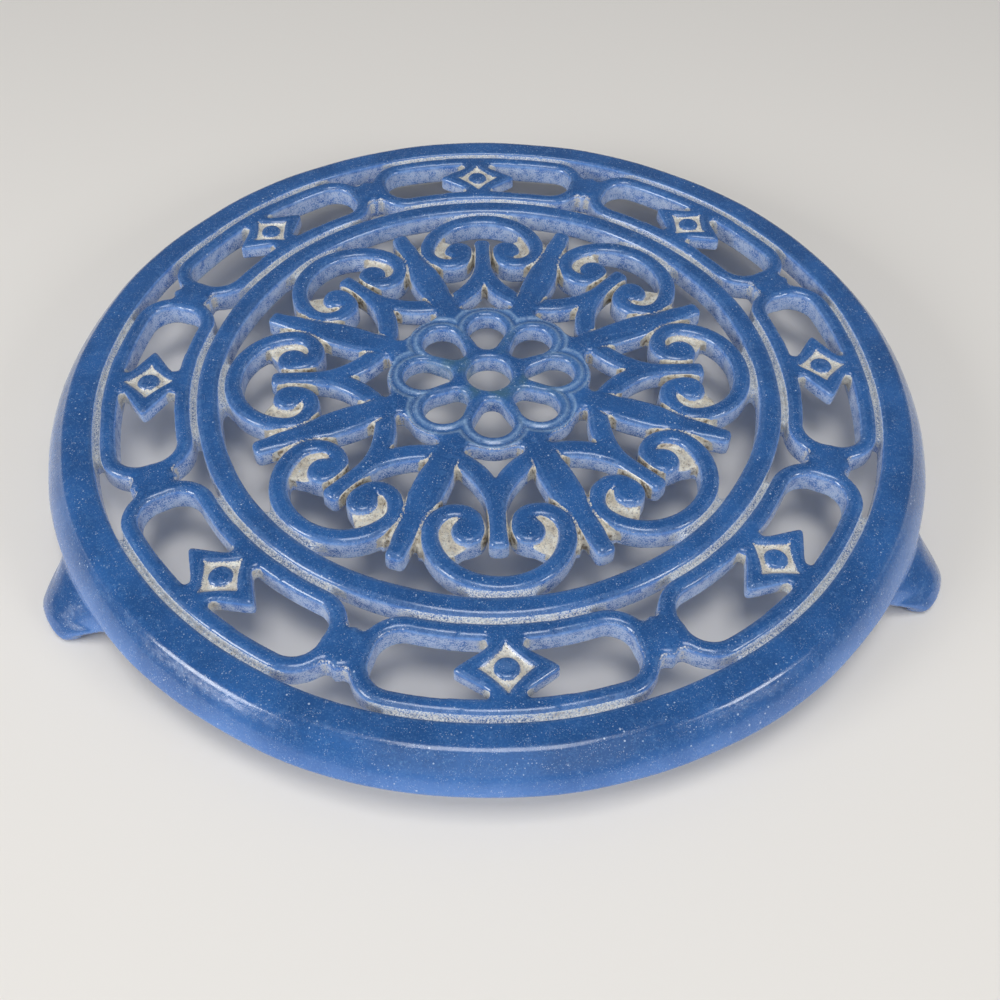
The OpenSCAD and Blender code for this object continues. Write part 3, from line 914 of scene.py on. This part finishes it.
class Nodes:
    """A material with one glossy shader, and short names for the nodes that feed it."""

    def __init__(self, name):
        self.mat = bpy.data.materials.new(name)
        self.mat.use_nodes = True
        self.tree = self.mat.node_tree
        self.tree.nodes.clear()
        out = self.new("ShaderNodeOutputMaterial")
        self.bsdf = self.new("ShaderNodeBsdfPrincipled")
        self.link(self.bsdf.outputs[0], out.inputs[0])

    def new(self, kind, **settings):
        node = self.tree.nodes.new(kind)
        for key, value in settings.items():
            setattr(node, key, value)
        return node

    def link(self, a, b):
        self.tree.links.new(a, b)

    def feed(self, node, sockets, values):
        for i, v in zip(sockets, values):
            if isinstance(v, (int, float, tuple)):
                node.inputs[i].default_value = v
            else:
                self.link(v, node.inputs[i])

    def math(self, operation, *values):
        node = self.new("ShaderNodeMath", operation=operation)
        self.feed(node, range(len(values)), values)
        return node.outputs[0]

    def times(self, first, *others):
        for v in others:
            first = self.math("MULTIPLY", first, v)
        return first

    def most(self, first, *others):
        for v in others:
            first = self.math("MAXIMUM", first, v)
        return first

    def plus(self, a, noise, share):
        """A value that a noise moves up and down by its share."""
        return self.math("ADD", a, self.times(self.math("SUBTRACT", noise, 0.5), share))

    def ramp(self, v, a, b, low=0.0, high=1.0):
        """A soft step: low where v is at a, high where it is at b."""
        node = self.new("ShaderNodeMapRange", interpolation_type="SMOOTHSTEP")
        self.feed(node, range(5), (v, a, b, low, high))
        return node.outputs[0]

    def mix(self, share, a, b):
        node = self.new("ShaderNodeMix", data_type="RGBA")
        self.feed(node, (0, 6, 7), (share, a, b))
        return node.outputs[2]

    def noise(self, place, scale, detail, rough):
        node = self.new("ShaderNodeTexNoise")
        self.link(place, node.inputs["Vector"])
        node.inputs["Scale"].default_value = scale
        node.inputs["Detail"].default_value = detail
        node.inputs["Roughness"].default_value = rough
        return node.outputs[0]


class Enamel(Nodes):
    """The glossy blue enamel, with bloom, dried residue, dirt and dust. Lengths are in mm."""

    def __init__(self):
        super().__init__("blue_enamel")
        coordinates = self.new("ShaderNodeTexCoord")
        self.place = coordinates.outputs["Object"]
        at = self.new("ShaderNodeSeparateXYZ")
        self.link(self.place, at.inputs[0])
        normal = self.new("ShaderNodeSeparateXYZ")
        self.link(coordinates.outputs["Normal"], normal.inputs[0])
        x, y, z = at.outputs
        self.up = normal.outputs[2]
        self.z = self.times(z, 1 / MM)
        self.r = self.times(self.math("SQRT", self.math("ADD", self.times(x, x), self.times(y, y))), 1 / MM)
        for name in MARKS:
            setattr(self, name, self.new("ShaderNodeAttribute", attribute_name=name).outputs["Fac"])
        for name in ("fine", "grain", "mid", "big", "frost"):
            setattr(self, name, self.noise(self.place, *NOISES[name]))
        self.openwork = self.ramp(self.r, *OPENWORK_R)
        self.bosses = self.ramp(self.math("ABSOLUTE", self.math("SUBTRACT", self.r, BELT)), *BOSS_REACH)
        self.patch = self.ramp(self.noise(self.place, *NOISES["patch"]), 0.42, 0.62)
        self.colour = self.blue()
        self.bloom = self.powdery_bloom()
        self.edge_line()
        self.pooled = self.where_water_stood()
        self.residue()
        self.middle()
        self.dust()
        self.gloss()

    def over(self, share, name):
        """Lay a tone over the colour so far."""
        self.colour = self.mix(share, self.colour, tone(name))

    def blue(self):
        """The enamel, darker and greener on the flats, lighter on the walls: partly paler enamel, partly
        painted light on the sides.
        """
        flat = self.mix(self.ramp(self.big, 0.35, 0.68), tone("flat_deep"), tone("flat"))
        flat = self.mix(self.times(self.ramp(self.mid, 0.5, 0.72), 0.35), flat, tone("flat_worn"))
        flat = self.mix(self.times(self.ramp(self.fine, 0.56, 0.70), 0.35), flat, tone("flat_speck"))
        flat = self.mix(self.times(self.ramp(self.fine, 0.44, 0.32), 0.35), flat, tone("flat_dark"))
        wall = self.mix(self.ramp(self.mid, 0.3, 0.7), tone("wall_deep"), tone("wall"))
        skirt = self.mix(self.ramp(self.big, 0.3, 0.7), tone("skirt_deep"), tone("skirt"))
        skirt = self.mix(self.times(self.ramp(self.fine, 0.52, 0.70), 0.3), skirt, tone("skirt_speck"))
        # Painted light in part: walls and skirt take lighter tones than the flats by which way they face.
        return self.mix(self.ramp(self.up, 0.75, 0.35), flat, self.mix(self.openwork, skirt, wall))

    def powdery_bloom(self):
        """Bloom on the walls inside the openwork, thickest where they are sheltered, and none underneath."""
        wall = self.times(self.ramp(self.up, 0.80, 0.25), self.ramp(self.z, -0.7, -2.2))
        wall = self.times(wall, self.ramp(self.up, -0.85, -0.35))
        bloom = self.times(wall, self.openwork, self.ramp(self.shelter, -0.35, 0.3, 0.45, 1.0))
        powder = self.ramp(self.plus(self.frost, self.mid, 0.45), 0.38, 0.56)
        self.over(self.times(bloom, powder, 0.9), "powder")
        return bloom

    def edge_line(self):
        """A thin pale line where the enamel drew back from the edges."""
        line = self.times(self.ramp(self.ridge, 0.28, 0.62), self.ramp(self.grain, 0.36, 0.58, 0.2, 1.0))
        self.over(self.times(line, self.openwork, 0.15), "edge_line")

    def where_water_stood(self):
        """The grooves, the hollows of the bosses, the creases and the welds of the scrolls."""
        level = self.times(self.ramp(self.z, -0.3, -1.5), self.ramp(self.up, 0.15, 0.75), self.openwork)
        corner = self.times(self.ramp(self.crease, 0.16, 0.42), self.ramp(self.z, -5.4, -4.2), self.openwork)
        off_rosette = self.ramp(self.r, *WELDS_R, 0.0, 0.6)
        weld = self.times(self.ramp(self.seam, 0.18, 0.7), self.ramp(self.z, -3.4, -2.4))
        self.weld = self.times(weld, self.times(self.openwork, off_rosette))
        hollow = self.times(self.ramp(self.z, -0.25, -0.95), self.ramp(self.up, 0.4, 0.9), self.bosses)
        return self.most(self.most(level, hollow), self.most(corner, self.weld))

    def residue(self):
        """Dried rinse water: a haze, cream where it is warm, brown where dirt stayed in it."""
        among_rays = self.ramp(self.r, *RAYS_R)
        groove = self.times(self.ramp(self.r, *GROOVES_R), self.math("SUBTRACT", 1.0, self.bosses))
        haze = self.mix(self.ramp(self.frost, 0.36, 0.58), tone("haze_thin"), tone("haze"))
        cream = self.mix(self.ramp(self.mid, 0.35, 0.65), tone("cream"), tone("cream_old"))
        spots = self.ramp(self.noise(self.place, *NOISES["spot"]), 0.54, 0.66)
        cream = self.mix(spots, cream, tone("cream_spot"))
        warm = self.most(self.times(self.patch, 0.6), self.times(self.ramp(self.crease, 0.25, 0.6), 0.4))
        warm = self.most(warm, self.times(self.bosses, 0.35), self.times(among_rays, 0.7), self.weld)
        warm = self.times(warm, self.ramp(groove, 0.0, 1.0, 1.0, 0.45))
        cream = self.mix(warm, haze, cream)
        dirt = self.ramp(self.noise(self.place, *NOISES["dirt"]), 0.48, 0.62)
        dirt = self.times(self.ramp(self.crease, 0.35, 0.7), dirt)
        old = self.most(self.times(among_rays, 0.8), self.times(self.patch, 0.3))
        cream = self.mix(self.times(dirt, old), cream, tone("dirt"))
        crumbs = self.ramp(self.noise(self.place, *NOISES["crumb"]), 0.62, 0.70)
        cream = self.mix(crumbs, cream, tone("crumb"))
        # In the two grooves it is thin and broken, so that the enamel shows through
        broken = self.times(groove, self.ramp(self.patch, 0.0, 1.0, 0.40, 0.22))
        cover = self.ramp(self.math("SUBTRACT", self.plus(self.pooled, self.frost, 1.6), broken), 0.30, 0.80)
        self.colour = self.mix(self.times(cover, self.ramp(self.pooled, 0.03, 0.35)), self.colour, cream)

    def middle(self):
        """The worn line round the rosette's lobes, and a green tinge of old grease at the centre."""
        worn = self.times(self.outline, self.ramp(self.up, 0.82, 0.97))
        self.over(self.times(worn, self.ramp(self.grain, 0.3, 0.6, 0.30, 0.62)), "outline")
        green = self.ramp(self.noise(self.place, *NOISES["grease"]), 0.46, 0.66)
        self.over(self.times(self.ramp(self.r, *GREASE_R), green, 0.5), "grease")

    def dust(self):
        """Pale specks of three sizes."""
        for scale, least, greatest, share in DUST:
            specks = self.new("ShaderNodeTexVoronoi", feature="F1")
            self.link(self.place, specks.inputs["Vector"])
            specks.inputs["Scale"].default_value = scale
            reach = self.ramp(self.noise(self.place, scale * 0.17, 2, 0.55), 0.38, 0.70, least, greatest)
            speck = self.math("LESS_THAN", specks.outputs["Distance"], reach)
            self.over(self.times(speck, share), "dust")

    def gloss(self):
        """Glossy glass, dull where something dried on it, with a fine unevenness."""
        self.link(self.colour, self.bsdf.inputs["Base Color"])
        rough = self.ramp(self.mid, 0.3, 0.75, 0.17, 0.32)
        rough = self.most(rough, self.times(self.most(self.pooled, self.bloom), 0.6))
        self.link(rough, self.bsdf.inputs["Roughness"])
        self.bsdf.inputs["Coat Weight"].default_value = 0.45
        self.bsdf.inputs["Coat Roughness"].default_value = 0.08
        bump = self.new("ShaderNodeBump")
        bump.inputs["Strength"].default_value = 0.2
        bump.inputs["Distance"].default_value = 0.3 * MM
        self.link(self.math("ADD", self.mid, self.times(self.grain, 0.5)), bump.inputs["Height"])
        self.link(bump.outputs[0], self.bsdf.inputs["Normal"])


blue = Enamel().mat
for name, piece in cut_up(*cast()):
    piece.data.materials.append(blue)
    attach(piece, "root")
    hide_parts(name)


# Floor, light and camera
FLOOR_SIZE = 6
FLOOR_ROUGH = 0.7
SKY = (0.92, 0.95, 1.0, 1)
SKY_STRENGTH = 0.22

# Area lamps that look at the middle: place and size in metres, power in watts
AIM = Vector((0, 0, 0))
LAMPS = {
    "lamp_left": ((-0.98, -0.48, 0.46), 0.42, 6.0),
    "lamp_right": ((0.86, -0.62, 0.50), 0.3, 3.0),
    "lamp_top": ((0.0, -0.22, 1.1), 0.5, 4.8),
    "lamp_front": ((0.0, -1.3, 0.9), 1.6, 5.0)}

# The camera as solved from the eight repeats of the pattern: its turn, and its place in units of 90 mm
CAMERA_TURN = Matrix(((0.99878405, -0.04758854, 0.01287434), (-0.0287362, -0.77417647, -0.63231719),
                      (0.04005806, 0.63117837, -0.77460262)))
CAMERA_SHIFT = Vector((-0.03078987, -0.37908375, 3.10125083)) * 0.090
CAMERA_LENS = 37.83
CAMERA_SENSOR = 36
CAMERA_NEAR = 0.01


def set_floor():
    bpy.ops.mesh.primitive_plane_add(size=FLOOR_SIZE, location=(0, 0, -HEIGHT * MM))
    ground = bpy.context.object
    ground.name = "floor"
    pale = Nodes("floor_pale")
    pale.bsdf.inputs["Base Color"].default_value = tone("floor")
    pale.bsdf.inputs["Roughness"].default_value = FLOOR_ROUGH
    ground.data.materials.append(pale.mat)


def set_light():
    world = bpy.data.worlds.new("studio")
    bpy.context.scene.world = world
    world.use_nodes = True
    world.node_tree.nodes["Background"].inputs[0].default_value = SKY
    world.node_tree.nodes["Background"].inputs[1].default_value = SKY_STRENGTH
    for name, (place, size, watts) in LAMPS.items():
        lamp = bpy.data.lights.new(name, "AREA")
        lamp.size = size
        lamp.energy = watts
        ob = added(name, lamp)
        ob.location = place
        ob.rotation_euler = (AIM - Vector(place)).to_track_quat("-Z", "Y").to_euler()


def set_camera():
    camera = bpy.data.cameras.new("camera")
    camera.lens = CAMERA_LENS
    camera.sensor_width = CAMERA_SENSOR
    camera.clip_start = CAMERA_NEAR
    ob = added("camera", camera)
    back = CAMERA_TURN.transposed()
    facing = (back @ Matrix.Diagonal((1, -1, -1))).to_4x4()
    ob.matrix_world = Matrix.Translation(-(back @ CAMERA_SHIFT)) @ facing
    bpy.context.scene.camera = ob
    bpy.context.scene.view_settings.view_transform = "Standard"


set_floor()
set_light()
set_camera()
